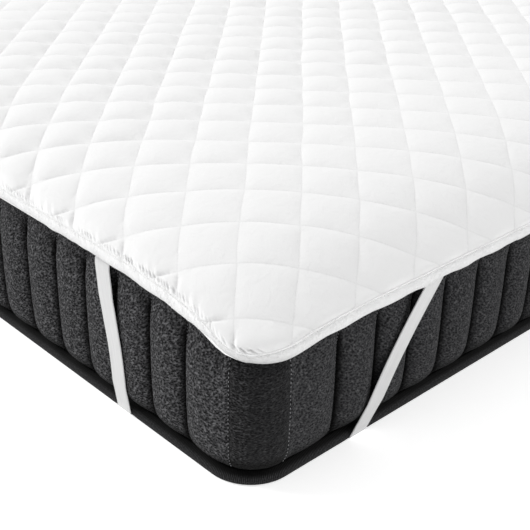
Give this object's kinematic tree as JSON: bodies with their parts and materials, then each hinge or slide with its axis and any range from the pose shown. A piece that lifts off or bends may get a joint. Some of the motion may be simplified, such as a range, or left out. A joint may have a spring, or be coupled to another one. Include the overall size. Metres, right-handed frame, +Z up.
{
  "type": "mattress protector on a mattress",
  "caption": "Quilted cotton mattress protector with a bound edge and elastic corner straps, lying on the plain mattress that it fits.",
  "frame": {"origin": "centre of the underside, on the plane that the mattress rests on", "axes": "+X across the width to the right long side, +Y along the length to the head end, +Z up"},
  "size_m": [1.4394, 2.0229, 0.2667],
  "materials": {
    "quilted_cotton": "fine white cotton with a soft puffy diamond quilting",
    "bias_binding": "smooth white folded cotton tape, stitched along its upper edge",
    "elastic": "off-white woven elastic with fine lengthways ribs",
    "border_knit": "charcoal flecked knit, matt and slightly fuzzy",
    "woven_tape": "black woven twill tape"
  },
  "bodies": {
    "root": {"mattress": "border_knit", "mattress_tape": "woven_tape", "protector_pad": "quilted_cotton", "protector_binding": "bias_binding", "protector_strap_foot_right": "elastic", "protector_strap_foot_left": "elastic", "protector_strap_head_left": "elastic", "protector_strap_head_right": "elastic"}
  },
  "joints": []
}
